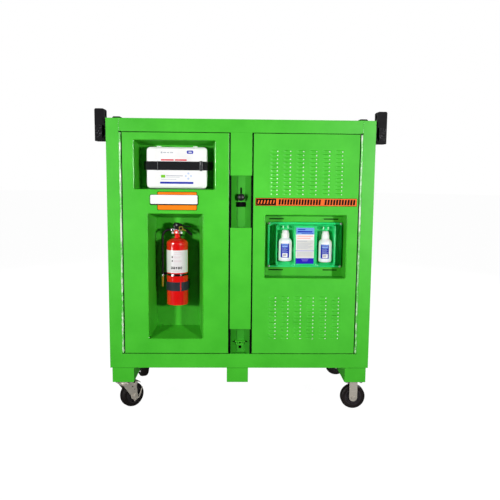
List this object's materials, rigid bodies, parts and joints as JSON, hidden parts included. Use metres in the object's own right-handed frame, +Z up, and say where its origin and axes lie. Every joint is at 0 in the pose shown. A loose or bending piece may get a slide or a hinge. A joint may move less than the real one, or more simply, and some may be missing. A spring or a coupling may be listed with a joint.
{
  "type": "jobsite safety cabinet",
  "caption": "Wheeled lime-green steel jobsite safety cabinet with two hinged doors, a sliding centre lock, and door pockets for first aid, a fire extinguisher and an eyewash station.",
  "frame": {"origin": "on the floor under the middle of the whole object, with its casters standing on z = 0", "axes": "+Z up; +X along the front from the first aid side to the eyewash side; +Y from the doors to the back"},
  "size_m": [1.656, 0.7681, 1.768],
  "materials": {
    "body_paint": "gloss powder coat, lime green",
    "shelf_paint": "satin grey",
    "black_paint": "satin black",
    "lock_black": "satin black",
    "knob_plastic": "black moulded plastic",
    "zinc": "zinc plated",
    "bolt_steel": "zinc plated",
    "case_plastic": "white moulded plastic",
    "lid_plastic": "white moulded plastic",
    "webbing": "black webbing",
    "cylinder_red": "gloss red",
    "valve_metal": "cast, bright",
    "gauge_face": "brass case with a pale dial",
    "lever_black": "satin black",
    "pin_yellow": "yellow coated",
    "hose_rubber": "matt black",
    "nozzle_plastic": "ochre yellow",
    "band_black": "black steel band",
    "strap_rubber": "dark grey",
    "tray_green": "emerald thermoformed plastic",
    "card_print": "printed card",
    "bottle_plastic": "white",
    "tyre_black": "black"
  },
  "bodies": {
    "cabinet": {"side_panel_left": "body_paint", "side_panel_right": "body_paint", "back_panel": "body_paint", "roof_panel": "body_paint", "floor_panel": "body_paint", "top_rail": "body_paint", "bottom_rail": "body_paint", "center_post": "body_paint", "lock_recess_upper": "body_paint", "lock_recess_lower": "body_paint", "foot_bracket": "body_paint", "lock_guides": "lock_black", "skid_left": "body_paint", "skid_center": "body_paint", "skid_right": "body_paint", "shelves": "shelf_paint", "shelf_brackets": "body_paint", "lift_brackets": "black_paint", "lift_bracket_bolts": "bolt_steel", "hinge_frame_leaves": "body_paint", "caster_plates": "zinc", "caster_bolts": "bolt_steel", "rigid_forks": "zinc"},
    "left_door": {"left_door_skin": "body_paint", "left_door_stiffener": "body_paint", "left_hinge_leaf": "body_paint", "first_aid_pocket": "body_paint", "first_aid_case": "case_plastic", "first_aid_lid": "lid_plastic", "first_aid_strap": "webbing", "extinguisher_pocket": "body_paint", "extinguisher_bracket": "black_paint", "extinguisher_cylinder": "cylinder_red", "extinguisher_valve": "valve_metal", "extinguisher_gauge": "gauge_face", "extinguisher_handle": "lever_black", "extinguisher_hose": "hose_rubber", "hose_nozzle": "nozzle_plastic", "hose_band": "band_black", "extinguisher_strap": "strap_rubber"},
    "right_door": {"right_door_skin": "body_paint", "right_door_stiffener": "body_paint", "right_hinge_leaf": "body_paint", "eyewash_pocket": "body_paint", "eyewash_tray": "tray_green", "eyewash_card": "card_print"},
    "lock": {"lock_bar": "lock_black", "lock_knob": "knob_plastic"},
    "squeeze_lever": {"extinguisher_lever": "lever_black"},
    "safety_pin": {"pull_pin": "pin_yellow"},
    "bottle_left": {"eyewash_bottle_left": "bottle_plastic"},
    "bottle_right": {"eyewash_bottle_right": "bottle_plastic"},
    "front_swivel": {"front_swivel_fork": "zinc"},
    "rear_swivel": {"rear_swivel_fork": "zinc"},
    "front_left_wheel": {"front_left_wheel": "tyre_black"},
    "rear_left_wheel": {"rear_left_wheel": "tyre_black"},
    "front_right_wheel": {"front_right_wheel": "tyre_black"},
    "rear_right_wheel": {"rear_right_wheel": "tyre_black"},
    "front_brake": {"front_brake_pedal": "black_paint"},
    "rear_brake": {"rear_brake_pedal": "black_paint"}
  },
  "joints": [
    {"name": "left_door_hinge", "type": "hinge", "parent": "cabinet", "child": "left_door", "pos_m": [-0.684, -0.378, 0.9985], "axis": [0, 0, -1], "range_deg": [0, 170]},
    {"name": "right_door_hinge", "type": "hinge", "parent": "cabinet", "child": "right_door", "pos_m": [0.684, -0.378, 0.9985], "axis": [0, 0, 1], "range_deg": [0, 170]},
    {"name": "lock_bar_slide", "type": "slide", "parent": "cabinet", "child": "lock", "axis": [0, 0, 1], "range_m": [0, 0.045]},
    {"name": "squeeze_lever_pivot", "type": "hinge", "parent": "left_door", "child": "squeeze_lever", "pos_m": [-0.3855, -0.282, 1.108], "axis": [0, 1, 0], "range_deg": [0, 7], "stiffness_Nm_per_rad": 8, "springref_deg": -5.73},
    {"name": "safety_pin_pull", "type": "slide", "parent": "left_door", "child": "safety_pin", "axis": [0, -1, 0], "range_m": [0, 0.045]},
    {"name": "bottle_left_pull", "type": "slide", "parent": "right_door", "child": "bottle_left", "axis": [0, -1, 0], "range_m": [0, 0.12]},
    {"name": "bottle_right_pull", "type": "slide", "parent": "right_door", "child": "bottle_right", "axis": [0, -1, 0], "range_m": [0, 0.12]},
    {"name": "front_swivel_turn", "type": "hinge", "parent": "cabinet", "child": "front_swivel", "pos_m": [-0.688, -0.308, 0.155], "axis": [0, 0, 1], "continuous": true},
    {"name": "rear_swivel_turn", "type": "hinge", "parent": "cabinet", "child": "rear_swivel", "pos_m": [-0.688, 0.314, 0.155], "axis": [0, 0, 1], "continuous": true},
    {"name": "front_left_wheel_roll", "type": "hinge", "parent": "front_swivel", "child": "front_left_wheel", "pos_m": [-0.65456, -0.27789, 0.074], "axis": [-0.6691, 0.7431, 0], "continuous": true},
    {"name": "rear_left_wheel_roll", "type": "hinge", "parent": "rear_swivel", "child": "rear_left_wheel", "pos_m": [-0.66898, 0.27322, 0.074], "axis": [0.9063, 0.4226, 0], "continuous": true},
    {"name": "front_right_wheel_roll", "type": "hinge", "parent": "cabinet", "child": "front_right_wheel", "pos_m": [0.688, -0.308, 0.074], "axis": [0, 1, 0], "continuous": true},
    {"name": "rear_right_wheel_roll", "type": "hinge", "parent": "cabinet", "child": "rear_right_wheel", "pos_m": [0.688, 0.314, 0.074], "axis": [0, 1, 0], "continuous": true},
    {"name": "front_brake_lift", "type": "hinge", "parent": "front_swivel", "child": "front_brake", "pos_m": [-0.64936, -0.2732, 0.14], "axis": [0.6691, -0.7431, 0], "range_deg": [0, 18]},
    {"name": "rear_brake_lift", "type": "hinge", "parent": "rear_swivel", "child": "rear_brake", "pos_m": [-0.66602, 0.26687, 0.14], "axis": [-0.9063, -0.4226, 0], "range_deg": [0, 18]}
  ]
}
